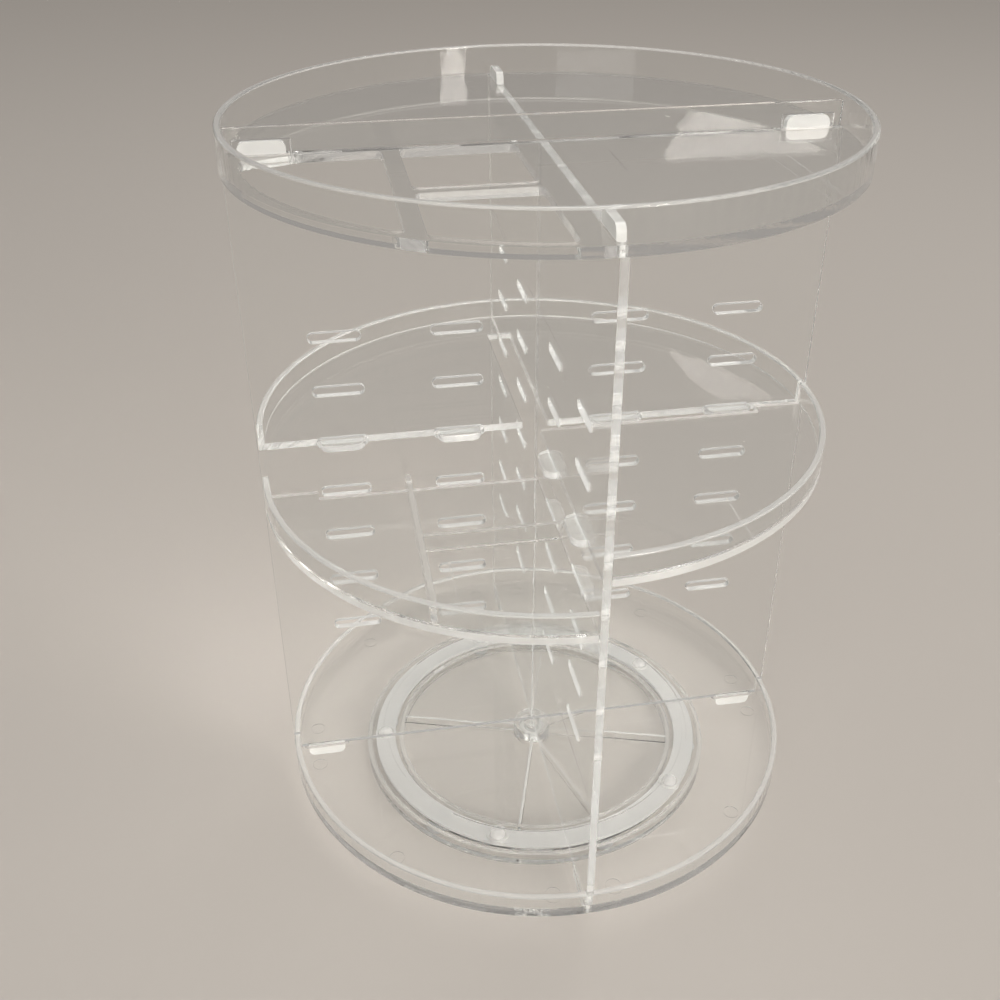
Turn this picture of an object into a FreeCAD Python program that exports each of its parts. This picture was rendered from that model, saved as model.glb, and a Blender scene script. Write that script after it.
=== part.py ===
# Clear rotating makeup organizer: a carousel of trays on a ball-bearing foot.
# Frame: +Z up, origin on the spin axis where the foot pads stand, front towards -Y.
import FreeCAD
import Part
import Sketcher
import math
import os
import re

# Driving sizes, in millimetres; angles in degrees.
sizes = {
    # foot pads
    "pad_tip_radius": 4.2,
    "pad_flare": 0.8,
    "pad_height": 1.5,
    "pad_inset": 8,
    # foot disc
    "foot_plate": 1.8,
    "foot_wall": 2,
    "wall_gap": 3.8,
    "rib_thickness": 1.2,
    "rib_height": 3.9,
    "rib_angle": -17,
    "hub_wall": 2.6,
    "hub_gap": 0.4,
    # ball race
    "ball_radius": 3.5,
    "ball_angle": 30,
    "race_radius": 72.4,
    "race_width": 6,
    "race_rise": 1.2,
    "race_depth": 0.3,
    "race_gap": 0.15,
    "cage_width": 9.2,
    "cage_gap": 0.25,
    "cage_inner_gap": 1.9,
    "cage_outer_gap": 2.2,
    "cage_lower_gap": 2,
    "cage_upper_gap": 2.5,
    "collar_width": 1.2,
    "collar_height": 0.6,
    # pivot
    "boss_radius": 5,
    "boss_proud": 0.15,
    "pivot_gap": 0.08,
    "washer_overlap": 1.8,
    "washer_thickness": 0.8,
    "washer_gap": 0.6,
    "screw_radius": 1.5,
    "screw_gap": 0.05,
    "screw_point": 1.6,
    "screw_roof": 1,
    "head_radius": 3.2,
    "head_height": 1.4,
    "head_cover": 0.4,
    "recess_length": 3.6,
    "recess_width": 0.9,
    "recess_depth": 0.8,
    # base tray
    "base_radius": 115,
    "base_floor": 3,
    "base_height": 10.9,
    "base_wall": 2.5,
    "base_round": 0.8,
    "mark_inset": 10,
    "mark_radius": 3.3,
    "mark_depth": 0.25,
    "mark_angle": 7,
    # panel tenons and the slots that they pass through
    "tenon_length": 17,
    "tenon_inset": 12,
    "tenon_round": 3,
    "tenon_proud": 4.5,
    "tenon_gap": 0.12,
    "tenon_end_gap": 0.3,
    "tenon_slot_spare": 4,
    # upright panels
    "panel_thickness": 3,
    "panel_height": 275,
    "panel_edge_gap": 0.2,
    "lap_gap": 0.1,
    "slot_inner": 33.5,
    "slot_margin": 34,
    "first_row": 72.8,
    "row_pitch": 22.9,
    # top tray
    "top_overhang": 1,
    "top_floor": 3,
    "top_height": 14.8,
    "top_wall": 2.5,
    "top_round": 0.8,
    "divider_height": 9.2,
    "divider_thickness": 2.5,
    "opening_back": 4,
    "opening_side": 11,
    "opening_ledge": 4,
    "opening_nose_inset": 21.5,
    "opening_nose_drop": 12,
    "opening_round": 2.5,
    "bar_long": 56,
    "bar_cross": 53,
    "bar_width": 6,
    # quarter trays
    "tray_inset": 0.5,
    "tray_floor": 3,
    "tray_height": 12,
    "tray_wall": 2.5,
    "tray_round": 0.7,
    "tray_gap": 0.3,
    "tongue_width": 17.5,
    "tongue_reach": 4.5,
    "tongue_round": 4,
    "tongue_side_gap": 1.5,
    "tongue_lower_gap": 0.3,
    "tongue_upper_gap": 0.7,
    "relief_gap": 0.8,
    "heel_gap": 1.5,
    "inner_wall": 2.2,
    "inner_wall_drop": 2,
}

# Places and sizes worked out from the driving ones; each may use the ones above it.
places = {
    "pad_radius": "pad_tip_radius + pad_flare",
    "foot_top": "pad_height + foot_plate",
    "race_top": "foot_top + race_rise",
    "race_inner": "race_radius - race_width / 2",
    "race_outer": "race_radius + race_width / 2",
    "ball_height": "race_top - race_depth + race_gap + ball_radius",
    "race_bore": "ball_radius + race_gap",
    "cage_inner": "race_radius - cage_width / 2",
    "cage_outer": "race_radius + cage_width / 2",
    "track_inner": "cage_inner - cage_inner_gap",
    "track_outer": "cage_outer + cage_outer_gap",
    "foot_radius": "track_outer + foot_wall",
    "pad_circle": "foot_radius - pad_inset",
    "base_bottom": "ball_height + ball_radius + race_gap - race_depth",
    "base_top": "base_bottom + base_floor",
    "base_rim": "base_bottom + base_height",
    "base_inside": "base_radius - base_wall",
    "wall_top": "base_bottom - wall_gap",
    "collar_top": "base_bottom - cage_upper_gap",
    "cage_top": "collar_top - collar_height",
    "cage_bottom": "race_top + cage_lower_gap",
    "washer_bottom": "pad_height + head_cover + head_height",
    "washer_radius": "boss_radius + washer_overlap",
    "washer_recess": "washer_radius + washer_gap",
    "hub_radius": "washer_recess + hub_wall",
    "boss_end": "washer_bottom + washer_thickness",
    "recess_top": "boss_end + boss_proud",
    "screw_top": "base_top - screw_roof - screw_gap",
    "mark_circle": "base_radius - mark_inset",
    "top_bottom": "base_top + panel_height",
    "top_top": "top_bottom + top_floor",
    "top_rim": "top_bottom + top_height",
    "top_radius": "base_radius + top_overhang",
    "top_inside": "top_radius - top_wall",
    "panel_half": "panel_thickness / 2",
    "panel_reach": "base_radius",
    "lap_half": "panel_half + lap_gap",
    "lap_height": "base_top + panel_height / 2",
    "tenon_circle": "base_inside - tenon_inset",
    "tenon_slot": "tenon_length + tenon_slot_spare",
    "tenon_slot_width": "panel_thickness + 2 * tenon_gap",
    "tenon_in": "tenon_circle - tenon_length / 2",
    "tenon_out": "tenon_circle + tenon_length / 2",
    "tenon_foot": "base_bottom - tenon_proud",
    "tenon_head": "top_top + tenon_proud",
    "rim_clear": "base_inside - panel_edge_gap",
    "slot_length": "tongue_width + 2 * tongue_side_gap",
    "slot_height": "tongue_lower_gap + tray_floor + tongue_upper_gap",
    "slot_outer": "panel_reach - slot_margin",
    "opening_radius": "top_inside - opening_ledge",
    "opening_nose": "opening_radius - opening_nose_inset",
    "bar_left": "bar_long + bar_width / 2",
    "bar_right": "bar_long - bar_width / 2",
    "bar_front": "bar_cross + bar_width / 2",
    "bar_back": "bar_cross - bar_width / 2",
    "tray_radius": "base_radius - tray_inset",
    "tray_inside": "tray_radius - tray_wall",
    "tray_edge": "panel_half + tray_gap",
    "tongue_tip": "panel_half + tongue_reach",
    "relief": "tongue_tip + relief_gap",
    "heel": "slot_outer + slot_length / 2 + heel_gap",
}

# A rim's round edge is at most this share of its wall.
rim_share = 0.333

ball_count = 5
pad_count = 6
rib_count = 4
row_count = 7
panel_end_count = 4
high_row_index = 4
low_row_index = 3
full_turn_angle = 360
quarter_turn_angle = 90
up = FreeCAD.Vector(0, 0, 1)

doc = FreeCAD.newDocument("MakeupOrganizer")
sheet = doc.addObject("Spreadsheet::Sheet", "Sizes")
for line, (name, number) in enumerate(sizes.items(), start=1):
    sheet.set(f"A{line}", name)
    sheet.set(f"B{line}", str(number))
    sheet.setAlias(f"B{line}", name)
doc.recompute()

nodes = []


# A formula in plain names, written out as references to the sheet.
def bound(formula):
    def reference(match):
        word = match.group()
        if word in sizes:
            return "Sizes." + word
        if word in places:
            return "(" + bound(places[word]) + ")"
        return word
    return re.sub(r"[a-z][a-z_]*", reference, formula)


def value(formula):
    return float(sheet.evalExpression(bound(formula)))


def bind(item, name, formula):
    item.setExpression(name, bound(formula))


def new_body(label):
    body = doc.addObject("PartDesign::Body", label)
    body.Label = label
    nodes.append(body)
    return body


def origin_part(body, role):
    return next(part for part in body.Origin.OriginFeatures if part.Role == role)


# Sketches are drawn on an origin plane, lifted along its normal.
def new_sketch(body, plane, lift="0"):
    sketch = body.newObject("Sketcher::SketchObject", "Sketch")
    sketch.AttachmentSupport = [(origin_part(body, plane), "")]
    sketch.MapMode = "FlatFace"
    bind(sketch, "AttachmentOffset.Base.z", lift)
    return sketch


# Ties one coordinate of a point to a formula, or to the axis where it is zero.
def tie(sketch, geometry, point, direction, formula):
    if formula == "0":
        axis = -2 if direction == "DistanceX" else -1
        sketch.addConstraint(Sketcher.Constraint("PointOnObject", geometry, point, axis))
        return
    rule = Sketcher.Constraint(direction, -1, 1, geometry, point, value(formula))
    index = sketch.addConstraint(rule)
    bind(sketch, f"Constraints[{index}]", formula)


# A closed outline through corners; arcs gives the centre of the edge that leaves a corner.
def outline(sketch, corners, arcs=None):
    arcs = arcs or {}
    points = [FreeCAD.Vector(value(u), value(v), 0) for u, v in corners]
    edges = []
    for index, start in enumerate(points):
        stop = points[(index + 1) % len(points)]
        if index not in arcs:
            edges.append((sketch.addGeometry(Part.LineSegment(start, stop)), 1, 2))
            continue
        centre = FreeCAD.Vector(value(arcs[index][0]), value(arcs[index][1]), 0)
        spoke = start - centre
        first = math.atan2(spoke.y, spoke.x)
        last = math.atan2(stop.y - centre.y, stop.x - centre.x)
        forward = (last - first) % (2 * math.pi) < math.pi
        span = (first, last) if forward else (last, first)
        arc = Part.ArcOfCircle(Part.Circle(centre, up, spoke.Length), *span)
        edges.append((sketch.addGeometry(arc),) + ((1, 2) if forward else (2, 1)))
    for index, (geometry, start, stop) in enumerate(edges):
        following = edges[(index + 1) % len(edges)]
        sketch.addConstraint(Sketcher.Constraint("Coincident", geometry, stop, following[0], following[1]))
        tie(sketch, geometry, start, "DistanceX", corners[index][0])
        tie(sketch, geometry, start, "DistanceY", corners[index][1])
        if index in arcs:
            chord = points[(index + 1) % len(points)] - points[index]
            across = abs(chord.x) < abs(chord.y)
            tie(sketch, geometry, 3, "DistanceX" if across else "DistanceY", arcs[index][0 if across else 1])


def rectangle(sketch, left, right, low, high):
    outline(sketch, [(left, low), (right, low), (right, high), (left, high)])


# A slot with full-round ends, along the sketch's first axis.
def capsule(sketch, u, v, length, width):
    left = f"{u} - ({length} - {width}) / 2"
    right = f"{u} + ({length} - {width}) / 2"
    low = f"{v} - {width} / 2"
    high = f"{v} + {width} / 2"
    corners = [(left, low), (right, low), (f"{u} + {length} / 2", v)]
    corners += [(right, high), (left, high), (f"{u} - {length} / 2", v)]
    outline(sketch, corners, {1: (right, v), 2: (right, v), 4: (left, v), 5: (left, v)})


def circle(sketch, u, v, radius):
    centre = FreeCAD.Vector(value(u), value(v), 0)
    geometry = sketch.addGeometry(Part.Circle(centre, up, value(radius)))
    tie(sketch, geometry, 3, "DistanceX", u)
    tie(sketch, geometry, 3, "DistanceY", v)
    index = sketch.addConstraint(Sketcher.Constraint("Radius", geometry, value(radius)))
    bind(sketch, f"Constraints[{index}]", radius)


# Adds a feature to a body and makes it the tip; a cut has to take something away.
def add_feature(body, kind, sketch, formulas=None, **settings):
    before = body.Shape.Volume if body.Tip else 0
    feature = body.newObject("PartDesign::" + kind, kind)
    if sketch:
        feature.Profile = sketch
        sketch.Visibility = False
    for name, setting in settings.items():
        setattr(feature, name, setting)
    for name, formula in (formulas or {}).items():
        bind(feature, name, formula)
    body.Tip = feature
    doc.recompute()
    if kind in ("Pocket", "Groove") and not body.Shape.Volume < before:
        raise RuntimeError(f"a {kind} of {body.Label} cuts nothing")
    return feature


def pad(body, sketch, length, **settings):
    return add_feature(body, "Pad", sketch, {"Length": length}, **settings)


def pocket(body, sketch, depth, **settings):
    return add_feature(body, "Pocket", sketch, {"Length": depth}, **settings)


def through(body, sketch):
    return add_feature(body, "Pocket", sketch, Type="ThroughAll")


def turned(body, corners):
    sketch = new_sketch(body, "XZ_Plane")
    outline(sketch, corners)
    return add_feature(body, "Revolution", sketch, ReferenceAxis=(sketch, ["V_Axis"]), Angle=full_turn_angle)


def ring_groove(body):
    sketch = new_sketch(body, "XZ_Plane")
    circle(sketch, "race_radius", "ball_height", "race_bore")
    return add_feature(body, "Groove", sketch, ReferenceAxis=(sketch, ["V_Axis"]), Angle=full_turn_angle)


def around(body, feature, count):
    axis = (origin_part(body, "Z_Axis"), [""])
    return add_feature(
        body, "PolarPattern", None, Originals=[feature], Axis=axis, Angle=full_turn_angle, Occurrences=count
    )


# Rounds the edges of the tip that pass a test.
def soften(body, radius, wanted):
    base = body.Tip
    names = [f"Edge{k}" for k, edge in enumerate(base.Shape.Edges, start=1) if wanted(edge)]
    return add_feature(body, "Fillet", None, {"Radius": radius}, Base=(base, names))


# Rounds the two long edges on top of a rim.
def soften_rim(body, radius, wall, height):
    top = value(height)

    def on_rim(edge):
        arched = isinstance(edge.Curve, Part.Circle)
        return arched and math.isclose(edge.BoundBox.ZMin, top) and math.isclose(edge.BoundBox.ZMax, top)

    return soften(body, f"min({radius}; {wall} * {rim_share})", on_rim)


# Foot pads: stuck under the foot disc near its edge.
def make_pads():
    for index in range(pad_count):
        cone = doc.addObject("Part::Cone", f"foot_pad_{index + 1}")
        cone.Label = cone.Name
        angle = f"rib_angle + {full_turn_angle} / {pad_count} * {index}"
        bind(cone, "Radius1", "pad_tip_radius")
        bind(cone, "Radius2", "pad_radius")
        bind(cone, "Height", "pad_height")
        bind(cone, "Placement.Base.x", f"pad_circle * cos({angle})")
        bind(cone, "Placement.Base.y", f"pad_circle * sin({angle})")
        nodes.append(cone)


# Foot disc: plate with a raised race between two walls, a ribbed middle and a pivot hub.
def make_foot():
    body = new_body("foot_disc")
    bore = "boss_radius + pivot_gap"
    hub_top = "base_bottom - hub_gap"
    middle = "track_inner - foot_wall"
    turned(body, [
        (bore, "recess_top"), ("washer_recess", "recess_top"), ("washer_recess", "pad_height"),
        ("foot_radius", "pad_height"), ("foot_radius", "wall_top"), ("track_outer", "wall_top"),
        ("track_outer", "foot_top"), ("race_outer", "foot_top"), ("race_outer", "race_top"),
        ("race_inner", "race_top"), ("race_inner", "foot_top"), ("track_inner", "foot_top"),
        ("track_inner", "wall_top"),
        (middle, "wall_top"), (middle, "foot_top"), ("hub_radius", "foot_top"),
        ("hub_radius", hub_top), (bore, hub_top),
    ])
    ring_groove(body)
    sketch = new_sketch(body, "XY_Plane", "foot_top")
    rectangle(sketch, "hub_radius - hub_wall / 2", "track_inner - foot_wall / 2",
              "-rib_thickness / 2", "rib_thickness / 2")
    rib = pad(body, sketch, "rib_height")
    around(body, rib, rib_count)
    bind(body, "Placement.Rotation.Angle", "rib_angle")


# Ball cage: flat ring with a collared pocket for each ball.
def make_cage():
    body = new_body("ball_cage")
    turned(body, [
        ("cage_inner", "cage_bottom"), ("cage_outer", "cage_bottom"), ("cage_outer", "cage_top"),
        ("cage_inner", "cage_top"),
    ])
    sketch = new_sketch(body, "XY_Plane", "cage_bottom")
    circle(sketch, "race_radius", "0", "ball_radius + cage_gap + collar_width")
    collar = pad(body, sketch, "collar_top - cage_bottom")
    around(body, collar, ball_count)
    sketch = new_sketch(body, "XY_Plane", "collar_top")
    circle(sketch, "race_radius", "0", "ball_radius + cage_gap")
    hole = through(body, sketch)
    around(body, hole, ball_count)
    bind(body, "Placement.Rotation.Angle", "ball_angle")


def make_balls():
    for index in range(ball_count):
        ball = doc.addObject("Part::Sphere", f"bearing_ball_{index + 1}")
        ball.Label = ball.Name
        angle = f"ball_angle + {full_turn_angle} / {ball_count} * {index}"
        bind(ball, "Radius", "ball_radius")
        bind(ball, "Placement.Base.x", f"race_radius * cos({angle})")
        bind(ball, "Placement.Base.y", f"race_radius * sin({angle})")
        bind(ball, "Placement.Base.z", "ball_height")
        nodes.append(ball)


# Round-ended slots up through a tray's floor, one for the tenon at each end of the panels.
def cut_tenon_slots(body, bottom, depth):
    sketch = new_sketch(body, "XY_Plane", bottom)
    capsule(sketch, "tenon_circle", "0", "tenon_slot", "tenon_slot_width")
    around(body, pocket(body, sketch, depth, Reversed=True), panel_end_count)


# Base tray: floor and rim, pivot boss below, ball race, slots for the tenons and moulding marks.
def make_base():
    body = new_body("base_tray")
    pilot = "screw_radius + screw_gap"
    roof = "base_top - screw_roof"
    turned(body, [
        (pilot, "boss_end"), ("boss_radius", "boss_end"), ("boss_radius", "base_bottom"),
        ("base_radius", "base_bottom"), ("base_radius", "base_rim"), ("base_inside", "base_rim"),
        ("base_inside", "base_top"), ("0", "base_top"), ("0", roof), (pilot, roof),
    ])
    soften_rim(body, "base_round", "base_wall", "base_rim")
    ring_groove(body)
    cut_tenon_slots(body, "base_bottom", "base_floor")
    sketch = new_sketch(body, "XY_Plane", "base_bottom")
    for angle in ("mark_angle", f"{quarter_turn_angle} / 2", f"{quarter_turn_angle} - mark_angle"):
        circle(sketch, f"mark_circle * cos({angle})", f"mark_circle * sin({angle})", "mark_radius")
    around(body, pocket(body, sketch, "mark_depth", Reversed=True), panel_end_count)


# Pivot washer: bears on the end of the base tray's boss.
def make_washer():
    disc = doc.addObject("Part::Cylinder", "washer_disc")
    hole = doc.addObject("Part::Cylinder", "washer_hole")
    bind(disc, "Radius", "washer_radius")
    bind(hole, "Radius", "screw_radius + screw_gap")
    for item in (disc, hole):
        bind(item, "Height", "washer_thickness")
        bind(item, "Placement.Base.z", "washer_bottom")
    washer = doc.addObject("Part::Cut", "pivot_washer")
    washer.Base = disc
    washer.Tool = hole
    washer.Label = washer.Name
    nodes.append(washer)


# Pivot screw: pan head with a cross recess, driven up into the boss.
def make_screw():
    body = new_body("pivot_screw")
    head = "washer_bottom - head_height"
    turned(body, [
        ("0", head), ("head_radius", head), ("head_radius", "washer_bottom"),
        ("screw_radius", "washer_bottom"), ("screw_radius", "screw_top - screw_point"), ("0", "screw_top"),
    ])
    sketch = new_sketch(body, "XY_Plane", head)
    arm = "recess_length / 2"
    half = "recess_width / 2"
    outline(sketch, [
        (f"-{arm}", f"-{half}"), (f"-{half}", f"-{half}"), (f"-{half}", f"-{arm}"), (half, f"-{arm}"),
        (half, f"-{half}"), (arm, f"-{half}"), (arm, half), (half, half),
        (half, arm), (f"-{half}", arm), (f"-{half}", half), (f"-{arm}", half),
    ])
    pocket(body, sketch, "recess_depth", Reversed=True)


# Upright panel: half outline mirrored, halved at the axis, round tenons at both ends, rows of slots.
def make_panel(label, lap_from_top):
    body = new_body(label)
    foot = "tenon_foot + tenon_round"
    head = "tenon_head - tenon_round"
    near = "tenon_in + tenon_round"
    far = "tenon_out - tenon_round"
    rim = "base_rim + panel_edge_gap"
    edge = [
        ("tenon_in", "base_top"), ("tenon_in", foot), (near, "tenon_foot"), (far, "tenon_foot"),
        ("tenon_out", foot), ("tenon_out", "base_top"), ("rim_clear", "base_top"), ("rim_clear", rim),
        ("panel_reach", rim), ("panel_reach", "top_bottom"), ("tenon_out", "top_bottom"), ("tenon_out", head),
        (far, "tenon_head"), (near, "tenon_head"), ("tenon_in", head), ("tenon_in", "top_bottom"),
    ]
    arcs = {1: (near, foot), 3: (far, foot), 11: (far, head), 13: (near, head)}
    if lap_from_top:
        step = "lap_height"
        middle = [("lap_half", "top_bottom"), ("lap_half", step), ("0", step), ("0", "base_top")]
    else:
        step = "lap_height + lap_gap"
        middle = [("0", "top_bottom"), ("0", step), ("lap_half", step), ("lap_half", "base_top")]
    sketch = new_sketch(body, "XZ_Plane")
    outline(sketch, edge + middle, arcs)
    half = pad(body, sketch, "panel_thickness", SideType="Symmetric")
    mirror = (origin_part(body, "YZ_Plane"), [""])
    add_feature(body, "Mirrored", None, Originals=[half], MirrorPlane=mirror)
    sketch = new_sketch(body, "XZ_Plane", "panel_half")
    for column in ("-slot_outer", "-slot_inner", "slot_inner", "slot_outer"):
        capsule(sketch, column, "base_bottom + first_row", "slot_length", "slot_height")
    slots = through(body, sketch)
    rise = {"Length": f"row_pitch * {row_count - 1}"}
    upward = (origin_part(body, "Z_Axis"), [""])
    add_feature(body, "LinearPattern", None, rise, Originals=[slots], Direction=upward, Occurrences=row_count)
    return body


# The three through openings at the front left of the top tray.
def cut_openings(body):
    sketch = new_sketch(body, "XY_Plane", "top_top")
    centre = ("0", "0")
    outline(sketch, [
        ("-bar_left", "-opening_back"), ("-opening_nose", "-opening_back"),
        ("-sqrt(opening_radius^2 - opening_nose_drop^2)", "-opening_nose_drop"),
        ("-bar_left", "-sqrt(opening_radius^2 - bar_left^2)"),
    ], {2: centre})
    rectangle(sketch, "-bar_right", "-opening_side", "-bar_back", "-opening_back")
    outline(sketch, [
        ("-bar_right", "-bar_front"), ("-opening_side", "-bar_front"),
        ("-opening_side", "-sqrt(opening_radius^2 - opening_side^2)"),
        ("-bar_right", "-sqrt(opening_radius^2 - bar_right^2)"),
    ], {2: centre})
    through(body, sketch)
    ledge = value("opening_radius + opening_ledge / 2")

    def corner(edge):
        start = edge.Vertexes[0].Point
        stop = edge.Vertexes[-1].Point
        upright = math.isclose(start.x, stop.x) and math.isclose(start.y, stop.y)
        return upright and math.hypot(start.x, start.y) < ledge

    soften(body, "opening_round", corner)


# Top tray: floor and rim, a wall across it, slots for the tenons, openings.
def make_top():
    body = new_body("top_tray")
    turned(body, [
        ("0", "top_bottom"), ("top_radius", "top_bottom"), ("top_radius", "top_rim"),
        ("top_inside", "top_rim"), ("top_inside", "top_top"), ("0", "top_top"),
    ])
    soften_rim(body, "top_round", "top_wall", "top_rim")
    cut_openings(body)
    sketch = new_sketch(body, "XY_Plane", "top_top")
    reach = "top_inside + top_wall / 2"
    rectangle(sketch, f"-({reach})", reach, "-divider_thickness / 2", "divider_thickness / 2")
    pad(body, sketch, "divider_height")
    cut_tenon_slots(body, "top_bottom", "top_floor + tenon_proud + tenon_end_gap")


# Quarter tray: drawn in the corner between its tongued edge (first axis) and its plain edge.
# side is 1 for a right-hand tray and -1 for its mirror image.
def make_tray(label, side, row, turn, walls):
    body = new_body(label)

    def hand(corners):
        return corners if side > 0 else [(u if u == "0" else f"-({u})", v) for u, v in corners]

    centre = ("0", "0")
    outer = "sqrt(tray_radius^2 - tray_edge^2)"
    inner = "sqrt(tray_inside^2 - tray_edge^2)"
    sketch = new_sketch(body, "XY_Plane")
    outline(sketch, hand([
        ("relief", "tray_edge"), (outer, "tray_edge"), ("tray_edge", outer), ("tray_edge", "heel"),
        ("relief", "heel"),
    ]), {1: centre})
    pad(body, sketch, "tray_floor")
    sketch = new_sketch(body, "XY_Plane")
    outline(sketch, hand([
        (inner, "tray_edge"), (outer, "tray_edge"), ("tray_edge", outer), ("tray_edge", inner),
    ]), {1: centre, 3: centre})
    pad(body, sketch, "tray_height")
    soften_rim(body, "tray_round", "tray_wall", "tray_height")
    if walls:
        add_inner_walls(body, hand)
    sketch = new_sketch(body, "XY_Plane")
    for column in ("slot_inner", "slot_outer"):
        add_tongue(sketch, column, hand)
    pad(body, sketch, "tray_floor")
    seat = f"base_bottom + first_row + row_pitch * {row} - slot_height / 2 + tongue_lower_gap"
    bind(body, "Placement.Base.z", seat)
    bind(body, "Placement.Rotation.Angle", f"{turn}")


# A tongue runs on from the floor, through the panel's slot, and ends in two round corners.
def add_tongue(sketch, column, hand):
    low = f"{column} - tongue_width / 2"
    high = f"{column} + tongue_width / 2"
    root = "tray_edge + tray_wall"
    tip = "-tongue_tip"
    bend = "-tongue_tip + tongue_round"
    corners = [
        (low, root), (low, bend), (f"{low} + tongue_round", tip),
        (f"{high} - tongue_round", tip), (high, bend), (high, root),
    ]
    ends = [(f"{low} + tongue_round", bend), (f"{high} - tongue_round", bend)]
    first, last = hand(ends)
    outline(sketch, hand(corners), {1: first, 3: last})


# Two low walls that stand under the bars between the top tray's openings.
def add_inner_walls(body, hand):
    height = "tray_height - inner_wall_drop"
    half = "inner_wall / 2"
    end = f"sqrt((tray_inside + tray_wall / 2)^2 - (bar_long + {half})^2)"
    near = f"bar_long - {half}"
    far = f"bar_long + {half}"
    sketch = new_sketch(body, "XY_Plane")
    outline(sketch, hand([("relief", near), (end, near), (end, far), ("relief", far)]))
    pad(body, sketch, height)
    left = f"bar_cross - {half}"
    right = f"bar_cross + {half}"
    sketch = new_sketch(body, "XY_Plane")
    outline(sketch, hand([
        (left, "tray_edge"), (right, "tray_edge"), (right, "bar_long"), (left, "bar_long"),
    ]))
    pad(body, sketch, height)


make_pads()
make_foot()
make_cage()
make_balls()
make_base()
make_washer()
make_screw()
make_panel("main_panel", lap_from_top=True)
cross_panel = make_panel("cross_panel", lap_from_top=False)
bind(cross_panel, "Placement.Rotation.Angle", f"{quarter_turn_angle}")
make_top()
make_tray("back_right_tray", 1, high_row_index, 0, walls=False)
make_tray("front_right_tray", 1, high_row_index, -quarter_turn_angle, walls=False)
make_tray("back_left_tray", -1, high_row_index, 0, walls=False)
make_tray("front_left_tray", -1, low_row_index, quarter_turn_angle, walls=True)
doc.recompute()

# Nothing is written unless every object is sound.
for item in doc.Objects:
    if "Invalid" in item.State or "Error" in item.State:
        raise RuntimeError(f"{item.Label} failed: {item.State}")
for node in nodes:
    if node.Shape.isNull() or not node.Shape.isValid() or len(node.Shape.Solids) != 1:
        raise RuntimeError(f"{node.Label} is not one sound solid")

os.makedirs("parts", exist_ok=True)
for node in nodes:
    node.Shape.exportStep(f"parts/{node.Label}.step")
    print(node.Label, round(node.Shape.Volume), node.Shape.BoundBox)
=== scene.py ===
import math
import bpy
from mathutils import Matrix, Vector


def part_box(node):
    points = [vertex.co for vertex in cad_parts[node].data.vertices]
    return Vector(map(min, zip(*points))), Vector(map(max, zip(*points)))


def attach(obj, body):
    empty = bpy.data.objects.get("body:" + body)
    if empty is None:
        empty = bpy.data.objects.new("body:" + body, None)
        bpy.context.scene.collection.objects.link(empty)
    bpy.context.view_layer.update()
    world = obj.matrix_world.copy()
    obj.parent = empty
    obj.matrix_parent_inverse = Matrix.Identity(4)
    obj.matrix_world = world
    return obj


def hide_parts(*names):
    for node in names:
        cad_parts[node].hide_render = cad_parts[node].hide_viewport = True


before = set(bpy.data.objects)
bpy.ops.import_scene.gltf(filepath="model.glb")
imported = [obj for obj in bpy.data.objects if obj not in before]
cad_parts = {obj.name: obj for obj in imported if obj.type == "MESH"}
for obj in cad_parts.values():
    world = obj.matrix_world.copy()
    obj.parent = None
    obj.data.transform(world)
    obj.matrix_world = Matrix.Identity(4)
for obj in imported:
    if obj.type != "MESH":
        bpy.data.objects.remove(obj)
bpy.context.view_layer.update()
scene = bpy.context.scene
print("frame loaded:", len(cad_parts), "nodes")


# small helpers
def pickOnly(piece):
    bpy.ops.object.select_all(action="DESELECT")
    piece.select_set(True)
    bpy.context.view_layer.objects.active = piece


def applyModifier(piece, kind, **settings):
    pickOnly(piece)
    modifier = piece.modifiers.new(kind.title(), kind)
    for name, value in settings.items():
        setattr(modifier, name, value)
    bpy.ops.object.modifier_apply(modifier=modifier.name)


# same: how alike a chord's ends are in height and reach, sag: the least bow that is divided,
# push: the most that a point moves out
rounding = {"digits": 6, "same": 3e-6, "sag": 6e-6, "push": 0.0003}


# chords of circles about the spin axis are divided and pushed out to the true circle
def roundOut(piece, cuts):
    mesh = piece.data
    reach = [math.hypot(vert.co.x, vert.co.y) for vert in mesh.vertices]
    height = [round(vert.co.z, rounding["digits"]) for vert in mesh.vertices]
    circles = {}
    for flag in (mesh.polygons, mesh.edges, mesh.vertices):
        flag.foreach_set("select", [False] * len(flag))
    for edge in mesh.edges:
        one, two = edge.vertices
        middle = (mesh.vertices[one].co + mesh.vertices[two].co) / 2
        level = abs(height[one] - height[two]) < rounding["same"]
        chord = level and abs(reach[one] - reach[two]) < rounding["same"]
        if chord and math.hypot(middle.x, middle.y) < reach[one] - rounding["sag"]:
            edge.select = True
            circles.setdefault(height[one], set()).add(reach[one])
    before = len(mesh.vertices)
    pickOnly(piece)
    bpy.ops.object.mode_set(mode="EDIT")
    bpy.ops.mesh.select_mode(type="EDGE")
    bpy.ops.mesh.subdivide(number_cuts=cuts)
    bpy.ops.object.mode_set(mode="OBJECT")
    for vert in mesh.vertices[before:]:
        here = math.hypot(vert.co.x, vert.co.y)
        near = circles.get(round(vert.co.z, rounding["digits"]), ())
        outer = [circle for circle in near if 0 <= circle - here < rounding["push"]]
        if outer:
            scale = min(outer) / here
            vert.co.x *= scale
            vert.co.y *= scale


polish = {"weld": 1e-6, "flatAngle": 0.1, "touching": 1e-5, "easeSteps": 2, "easeAngle": 40,
          "smoothAngle": 35, "weight": 100}


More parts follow.
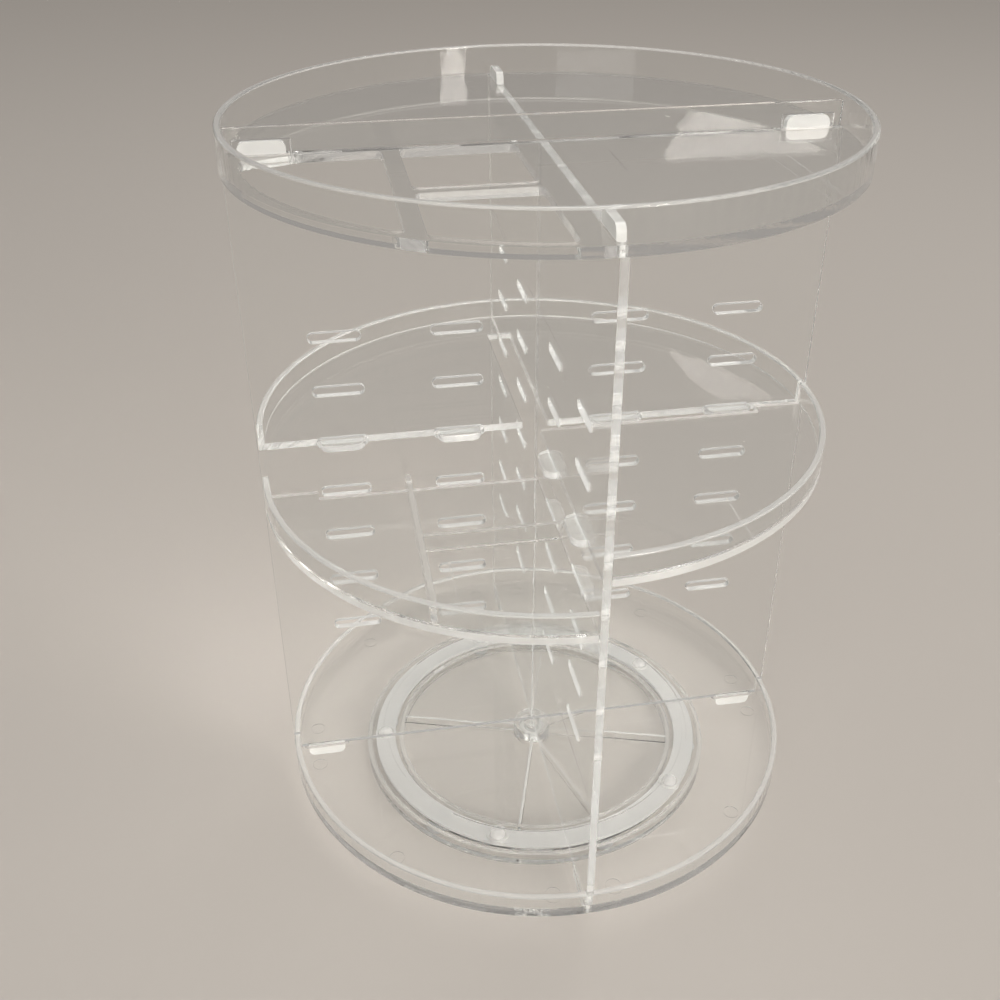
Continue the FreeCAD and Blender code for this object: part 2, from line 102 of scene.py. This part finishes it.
# the solid's own faces, welded, flat faces joined up, edges eased like polished plastic
# air: heights where it stands on another piece, each with a hair's shift,
# so that the touching faces don't lie in one plane
def polishedCopy(node, pieceName, ease, smoothAngle=polish["smoothAngle"], cuts=0, splits=(), air=()):
    piece = bpy.data.objects.new(pieceName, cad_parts[node].data.copy())
    scene.collection.objects.link(piece)
    piece.data.materials.clear()
    pickOnly(piece)
    bpy.ops.mesh.customdata_custom_splitnormals_clear()
    bpy.ops.object.mode_set(mode="EDIT")
    bpy.ops.mesh.select_all(action="SELECT")
    bpy.ops.mesh.remove_doubles(threshold=polish["weld"])
    bpy.ops.mesh.dissolve_limited(angle_limit=math.radians(polish["flatAngle"]))
    bpy.ops.object.mode_set(mode="OBJECT")
    for height, shift in air:
        for vert in piece.data.vertices:
            if abs(vert.co.z - height) < polish["touching"]:
                vert.co.z += shift
    if cuts:
        roundOut(piece, cuts)
    if ease:
        applyModifier(piece, "BEVEL", width=ease, segments=polish["easeSteps"], limit_method="ANGLE",
                      angle_limit=math.radians(polish["easeAngle"]))
    pickOnly(piece)
    for place, facing in splits:
        bpy.ops.object.mode_set(mode="EDIT")
        bpy.ops.mesh.select_all(action="SELECT")
        bpy.ops.mesh.bisect(plane_co=place, plane_no=facing)
        bpy.ops.object.mode_set(mode="OBJECT")
    bpy.ops.object.shade_smooth_by_angle(angle=math.radians(smoothAngle))
    applyModifier(piece, "WEIGHTED_NORMAL", weight=polish["weight"], keep_sharp=True)
    return piece


# pick gives the number of the material for a face, from its centre and its normal
def paint(piece, materials, pick):
    for material in materials:
        piece.data.materials.append(material)
    for face in piece.data.polygons:
        face.material_index = pick(face.center, face.normal)


def paintAll(piece, material):
    paint(piece, [material], lambda at, facing: 0)


def settle(piece, body, node):
    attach(piece, body)
    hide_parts(node)


# finishes
def newMaterial(name):
    material = bpy.data.materials.new(name)
    material.use_nodes = True
    nodes = material.node_tree.nodes
    nodes.clear()
    shader = nodes.new("ShaderNodeBsdfPrincipled")
    out = nodes.new("ShaderNodeOutputMaterial")
    material.node_tree.links.new(shader.outputs["BSDF"], out.inputs["Surface"])
    return material, shader


def noiseOn(material, scale, detail, stretch=(1, 1, 1)):
    nodes = material.node_tree.nodes
    links = material.node_tree.links
    where = nodes.new("ShaderNodeTexCoord")
    mapping = nodes.new("ShaderNodeMapping")
    mapping.inputs["Scale"].default_value = stretch
    noise = nodes.new("ShaderNodeTexNoise")
    noise.inputs["Scale"].default_value = scale
    noise.inputs["Detail"].default_value = detail
    links.new(where.outputs["Object"], mapping.inputs["Vector"])
    links.new(mapping.outputs["Vector"], noise.inputs["Vector"])
    return noise.outputs["Fac"]


def ranged(material, source, low, high, toLow, toHigh):
    node = material.node_tree.nodes.new("ShaderNodeMapRange")
    node.inputs["From Min"].default_value = low
    node.inputs["From Max"].default_value = high
    node.inputs["To Min"].default_value = toLow
    node.inputs["To Max"].default_value = toHigh
    material.node_tree.links.new(source, node.inputs["Value"])
    return node.outputs["Result"]


def joined(material, how, first, second):
    node = material.node_tree.nodes.new("ShaderNodeMath")
    node.operation = how
    material.node_tree.links.new(first, node.inputs[0])
    material.node_tree.links.new(second, node.inputs[1])
    return node.outputs["Value"]


def bumped(material, shader, source, strength, distance):
    bump = material.node_tree.nodes.new("ShaderNodeBump")
    bump.inputs["Strength"].default_value = strength
    bump.inputs["Distance"].default_value = distance
    material.node_tree.links.new(source, bump.inputs["Height"])
    material.node_tree.links.new(bump.outputs["Normal"], shader.inputs["Normal"])


# lamp light passes through clear plastic on its way to what stands behind
def letLampsThrough(material, shader, tint):
    nodes = material.node_tree.nodes
    links = material.node_tree.links
    path = nodes.new("ShaderNodeLightPath")
    clear = nodes.new("ShaderNodeBsdfTransparent")
    clear.inputs["Color"].default_value = (tint, tint, tint, 1)
    mix = nodes.new("ShaderNodeMixShader")
    links.new(path.outputs["Is Shadow Ray"], mix.inputs["Fac"])
    links.new(shader.outputs["BSDF"], mix.inputs[1])
    links.new(clear.outputs["BSDF"], mix.inputs[2])
    links.new(mix.outputs["Shader"], nodes["Material Output"].inputs["Surface"])


# from: the part of the noise that shows, rough: the roughness it is spread over
acrylic = {"color": (0.965, 0.97, 0.968), "ior": 1.49, "lampTint": 0.95,
           "smearScale": 24, "smearDetail": 4, "smearFrom": (0.45, 0.75), "smearRough": (0.008, 0.05),
           "hairScale": 55, "hairDetail": 2, "hairRough": (0, 0.16),
           "alongStretch": (0.12, 6, 0.6), "alongFrom": (0.7, 0.74),
           "acrossStretch": (5, 0.1, 4), "acrossFrom": (0.71, 0.75),
           "waveScale": 14, "waveDetail": 1, "waveDepth": 0.00004, "waveMoulded": 0.35}


def hairlines(material, stretch, shows):
    noise = noiseOn(material, acrylic["hairScale"], acrylic["hairDetail"], stretch)
    return ranged(material, noise, *shows, *acrylic["hairRough"])


# clear plastic: wiped smears, hairline scratches and a faint moulded waviness
def makeClearAcrylic(name, waviness):
    material, shader = newMaterial(name)
    shader.inputs["Base Color"].default_value = (*acrylic["color"], 1)
    shader.inputs["Transmission Weight"].default_value = 1
    shader.inputs["IOR"].default_value = acrylic["ior"]
    smears = noiseOn(material, acrylic["smearScale"], acrylic["smearDetail"])
    smear = ranged(material, smears, *acrylic["smearFrom"], *acrylic["smearRough"])
    along = hairlines(material, acrylic["alongStretch"], acrylic["alongFrom"])
    across = hairlines(material, acrylic["acrossStretch"], acrylic["acrossFrom"])
    hairs = joined(material, "MAXIMUM", along, across)
    rough = joined(material, "ADD", smear, hairs)
    material.node_tree.links.new(rough, shader.inputs["Roughness"])
    if waviness:
        waves = noiseOn(material, acrylic["waveScale"], acrylic["waveDetail"])
        bumped(material, shader, waves, waviness, acrylic["waveDepth"])
    letLampsThrough(material, shader, acrylic["lampTint"])
    return material


# sawn or moulded edges that glow a little
edgeLook = {"color": (0.93, 0.94, 0.935), "ior": acrylic["ior"], "detail": 3, "stretch": (1, 1, 0.15),
            "from": (0.3, 0.7), "depth": 0.0001, "lampTint": 0.82}
cutEdge = {**edgeLook, "transmission": 0.78, "scale": 700, "rough": (0.06, 0.22), "relief": 0.1}
brightEdge = {**edgeLook, "transmission": 0.55, "scale": 700, "rough": (0.05, 0.2), "relief": 0.1}
panelEdge = {**edgeLook, "transmission": 0.88, "scale": 500, "rough": (0.04, 0.18), "relief": 0.1}
rimEdge = {**edgeLook, "transmission": 0.62, "scale": 160, "rough": (0.03, 0.12), "relief": 0.05}
slabBand = {**edgeLook, "transmission": 0.5, "scale": 60, "rough": (0.16, 0.26), "relief": 0.02}

# haze: slot walls, tongues, hub and pivot, a little milky
haze = {"color": (0.93, 0.94, 0.935), "ior": acrylic["ior"], "transmission": 0.86, "scale": 150, "detail": 3,
        "from": (0.3, 0.7), "rough": (0.04, 0.14), "relief": 0.06, "depth": 0.0001, "lampTint": 0.88}
frost = {"color": (0.84, 0.84, 0.83), "transmission": 0.58, "scale": 1400, "detail": 2,
         "from": (0.3, 0.7), "rough": (0.42, 0.6), "relief": 0.15, "depth": 0.0002, "lampTint": 0.7}
ballGlass = {"color": (0.92, 0.92, 0.92), "ior": 1.5, "transmission": 0.6, "scale": 800, "detail": 3,
             "from": (0.4, 0.7), "rough": (0.015, 0.08), "lampTint": 0.85}
softPad = {"color": (0.8, 0.82, 0.83), "transmission": 0.5, "scale": 1200, "detail": 3,
           "from": (0.3, 0.7), "rough": (0.35, 0.55), "relief": 0.2, "depth": 0.0002}


# plastic that is partly clear, with a grain in its roughness and relief
def makeGrained(name, look):
    material, shader = newMaterial(name)
    shader.inputs["Base Color"].default_value = (*look["color"], 1)
    shader.inputs["Transmission Weight"].default_value = look["transmission"]
    if "ior" in look:
        shader.inputs["IOR"].default_value = look["ior"]
    grain = noiseOn(material, look["scale"], look["detail"], look.get("stretch", (1, 1, 1)))
    rough = ranged(material, grain, *look["from"], *look["rough"])
    material.node_tree.links.new(rough, shader.inputs["Roughness"])
    if "relief" in look:
        bumped(material, shader, grain, look["relief"], look["depth"])
    if "lampTint" in look:
        letLampsThrough(material, shader, look["lampTint"])
    return material


sheetMat = makeClearAcrylic("sheetAcrylic", 0)
mouldedMat = makeClearAcrylic("mouldedAcrylic", acrylic["waveMoulded"])
edgeMat = makeGrained("cutEdge", cutEdge)
brightMat = makeGrained("brightEdge", brightEdge)
bandMat = makeGrained("slabBand", slabBand)
panelMat = makeGrained("panelEdge", panelEdge)
rimMat = makeGrained("rimEdge", rimEdge)
hazeMat = makeGrained("hazyMoulding", haze)
frostMat = makeGrained("frostedCage", frost)
ballMat = makeGrained("ballGlass", ballGlass)
padMat = makeGrained("softPad", softPad)
print("finishes made")

# upright panels: broad faces clear, cut edges, slot walls and tenons bright
panel = {"ease": 0.00025, "flat": 0.95, "foot": 0.0142, "shoulder": 0.2892, "air": 0.00006,
         "rail": 0.002, "slots": 0.1, "middle": 0.01, "tenonLine": 0.0005}
lowTenon = panel["foot"] - panel["tenonLine"]
highTenon = panel["shoulder"] + panel["tenonLine"]


# across: the number of the axis that the panel's thickness lies along
def panelPick(across):
    def pick(at, facing):
        if at.z < lowTenon or at.z > highTenon:
            return 2
        if abs(facing[across]) > panel["flat"]:
            return 0
        out = abs(at[1 - across])
        slotted = panel["foot"] < at.z < panel["shoulder"] - panel["rail"]
        return 2 if slotted and panel["middle"] < out < panel["slots"] else 1
    return pick


for node, across in (("main_panel", 1), ("cross_panel", 0)):
    piece = polishedCopy(node, node + "_clear", panel["ease"],
                         splits=(((0, 0, lowTenon), (0, 0, 1)), ((0, 0, highTenon), (0, 0, 1))),
                         air=((panel["foot"], panel["air"]), (panel["shoulder"], -panel["air"])))
    paint(piece, [sheetMat, panelMat, brightMat], panelPick(across))
    settle(piece, "carousel", node)
print("panels done")

# round trays: rims and opening walls catch the light, the walls of the tenons' slots are milky
roundTray = {"ease": 0.0003, "cuts": 2, "rimBand": 0.0009, "upright": 0.5, "underside": 0.0002,
             "slotIn": 0.0893, "slotOut": 0.1116, "slotHalf": 0.0024}
roundFloors = {"base_tray": {"top": 0.0142, "openings": 0.1}, "top_tray": {"top": 0.2922, "openings": 0.107}}


def roundPick(low, high, floorTop, openingReach):
    def pick(at, facing):
        reach = math.hypot(at.x, at.y)
        if at.z > high - roundTray["rimBand"]:
            return 3
        upright = abs(facing.z) < roundTray["upright"]
        nearAxis = min(abs(at.x), abs(at.y)) < roundTray["slotHalf"]
        if upright and nearAxis and roundTray["slotIn"] < reach < roundTray["slotOut"]:
            return 2
        if upright and floorTop > at.z > low + roundTray["underside"] and reach < openingReach:
            return 1
        return 0
    return pick


for node, floorOf in roundFloors.items():
    low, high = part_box(node)
    piece = polishedCopy(node, node + "_clear", roundTray["ease"], cuts=roundTray["cuts"])
    pick = roundPick(low.z, high.z, floorOf["top"], floorOf["openings"])
    paint(piece, [mouldedMat, edgeMat, hazeMat, rimMat], pick)
    settle(piece, "carousel", node)
print("round trays done")

# quarter trays: bright rims and cut edges, milky tongues through the slots
quarterTray = {"ease": 0.0003, "cuts": 2, "floor": 0.003, "innerWall": 0.006, "rimBand": 0.0008,
               "inside": 0.1115, "edge": 0.00175, "upright": 0.7, "lying": 0.5, "outward": 0.9}
tongueSide = {"back_left_tray": (0, 1), "back_right_tray": (0, 1),
              "front_right_tray": (1, 0), "front_left_tray": (-1, 0)}


# side points from the tongues into the tray
def quarterPick(low, high, side):
    def pick(at, facing):
        reach = math.hypot(at.x, at.y)
        upright = abs(facing.z) < quarterTray["upright"]
        inSlab = at.z < low + quarterTray["floor"]
        if at.z > high - quarterTray["rimBand"]:
            return 3
        if facing.z > quarterTray["lying"] and at.z > low + quarterTray["innerWall"]:
            return 2
        if at.x * side[0] + at.y * side[1] < quarterTray["edge"]:
            return 1 if upright else 2
        if not upright:
            return 0
        if reach < quarterTray["inside"]:
            return 1 if inSlab else 0
        outward = abs(facing.x * at.x + facing.y * at.y) / reach
        if outward < quarterTray["outward"]:
            return 1
        return 4 if inSlab else 0
    return pick


for node, side in tongueSide.items():
    low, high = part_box(node)
    root = (side[0] * quarterTray["edge"], side[1] * quarterTray["edge"], 0)
    slabTop = (0, 0, low.z + quarterTray["floor"])
    piece = polishedCopy(node, node + "_clear", quarterTray["ease"], cuts=quarterTray["cuts"],
                         splits=((root, (*side, 0)), (slabTop, (0, 0, 1))))
    paint(piece, [mouldedMat, edgeMat, hazeMat, rimMat, bandMat], quarterPick(low.z, high.z, side))
    settle(piece, node, node)
print("quarter trays done")

# turntable: the foot's wall tops, ribs and hub edge catch the light, the hub is a little milky
turntable = {"ease": 0.0002, "cuts": 2, "tops": 0.006, "hubEdge": 0.0097, "upward": 0.3}


def footPick(at, facing):
    reach = math.hypot(at.x, at.y)
    if facing.z < turntable["upward"] or at.z < turntable["tops"]:
        return 0
    return 2 if reach < turntable["hubEdge"] else 1


piece = polishedCopy("foot_disc", "foot_disc_clear", turntable["ease"], cuts=turntable["cuts"])
paint(piece, [mouldedMat, brightMat, hazeMat], footPick)
settle(piece, "foot", "foot_disc")

piece = polishedCopy("ball_cage", "ball_cage_frosted", turntable["ease"], cuts=turntable["cuts"])
paintAll(piece, frostMat)
settle(piece, "bearing", "ball_cage")

bearingBall = {"count": 5, "ease": 0, "smoothAngle": 60}
for number in range(1, bearingBall["count"] + 1):
    node = f"bearing_ball_{number}"
    piece = polishedCopy(node, node + "_smooth", bearingBall["ease"], bearingBall["smoothAngle"])
    paintAll(piece, ballMat)
    settle(piece, "bearing", node)

footPad = {"count": 6, "ease": 0.0003, "air": -0.00005}
for number in range(1, footPad["count"] + 1):
    node = f"foot_pad_{number}"
    piece = polishedCopy(node, node + "_soft", footPad["ease"], air=((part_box(node)[1].z, footPad["air"]),))
    paintAll(piece, padMat)
    settle(piece, "foot", node)

pivot = {"ease": 0.00012, "air": -0.00005}
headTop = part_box("pivot_washer")[0].z
for node, touching in (("pivot_screw", headTop), ("pivot_washer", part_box("pivot_washer")[1].z)):
    piece = polishedCopy(node, node + "_clear", pivot["ease"], air=((touching, pivot["air"]),))
    paintAll(piece, hazeMat)
    settle(piece, "carousel", node)
print("turntable done")

# stage: a pale floor under a soft room
stage = {"floorSize": 14, "floorColor": (0.6, 0.565, 0.53), "floorRough": 0.7, "floorSheen": 0.1,
         "skyLow": (0.245, 0.228, 0.212), "skyHigh": (0.5, 0.485, 0.465)}
bpy.ops.object.select_all(action="DESELECT")
bpy.ops.mesh.primitive_plane_add(size=stage["floorSize"])
floor = bpy.context.active_object
floor.name = "floor"
material, shader = newMaterial("paleFloor")
shader.inputs["Base Color"].default_value = (*stage["floorColor"], 1)
shader.inputs["Roughness"].default_value = stage["floorRough"]
shader.inputs["Specular IOR Level"].default_value = stage["floorSheen"]
floor.data.materials.append(material)

world = bpy.data.worlds.new("softRoom")
scene.world = world
world.use_nodes = True
nodes = world.node_tree.nodes
links = world.node_tree.links
where = nodes.new("ShaderNodeTexCoord")
parts = nodes.new("ShaderNodeSeparateXYZ")
ramp = nodes.new("ShaderNodeValToRGB")
ramp.color_ramp.elements[0].color = (*stage["skyLow"], 1)
ramp.color_ramp.elements[1].color = (*stage["skyHigh"], 1)
links.new(where.outputs["Generated"], parts.inputs["Vector"])
links.new(parts.outputs["Z"], ramp.inputs["Fac"])
links.new(ramp.outputs["Color"], nodes["Background"].inputs["Color"])

# one lamp for the highlights and two soft ones, not seen directly or through clear pieces
lampAim = Vector((0, 0, 0.2))
lamps = [
    {"name": "shelfLamp", "shape": "DISK", "place": (1.04, -2.16, 1.03), "size": 0.6, "power": 32,
     "color": (1, 0.95, 0.88)},
    {"name": "softFront", "shape": "SQUARE", "place": (-1.1, -1.7, 0.9), "size": 1.2, "power": 8,
     "color": (1, 0.98, 0.95)},
    {"name": "softTop", "shape": "SQUARE", "place": (0.5, 0.7, 2.2), "size": 0.85, "power": 10,
     "color": (1, 0.98, 0.96)},
]
for look in lamps:
    data = bpy.data.lights.new(look["name"], "AREA")
    data.shape = look["shape"]
    data.size = look["size"]
    data.energy = look["power"]
    data.color = look["color"]
    lamp = bpy.data.objects.new(look["name"], data)
    scene.collection.objects.link(lamp)
    lamp.location = look["place"]
    lamp.visible_camera = False
    lamp.visible_transmission = False
    lamp.rotation_euler = (lampAim - Vector(look["place"])).to_track_quat("-Z", "Y").to_euler()

# camera at the photo's angle
shot = {"place": (-0.08788, -0.41918, 0.40378), "yaw": 9.667, "pitch": 31.787, "roll": -0.242,
        "lens": 41.993, "nearest": 0.01}
yaw, pitch, roll = (math.radians(shot[key]) for key in ("yaw", "pitch", "roll"))
ahead = Vector((math.sin(yaw) * math.cos(pitch), math.cos(yaw) * math.cos(pitch), -math.sin(pitch)))
level = ahead.cross(Vector((0, 0, 1))).normalized()
above = level.cross(ahead)
right = math.cos(roll) * level + math.sin(roll) * above
top = math.cos(roll) * above - math.sin(roll) * level
camera = bpy.data.objects.new("camera", bpy.data.cameras.new("camera"))
scene.collection.objects.link(camera)
camera.data.lens = shot["lens"]
camera.data.clip_start = shot["nearest"]
camera.matrix_world = Matrix.Translation(shot["place"]) @ Matrix((right, top, -ahead)).transposed().to_4x4()
scene.camera = camera

# enough bounces for light to leave the stacked clear pieces
bounces = 48
scene.view_settings.view_transform = "Standard"
scene.cycles.max_bounces = bounces
scene.cycles.glossy_bounces = bounces
scene.cycles.transmission_bounces = bounces
scene.cycles.transparent_max_bounces = bounces
print("stage, lamps and camera done")
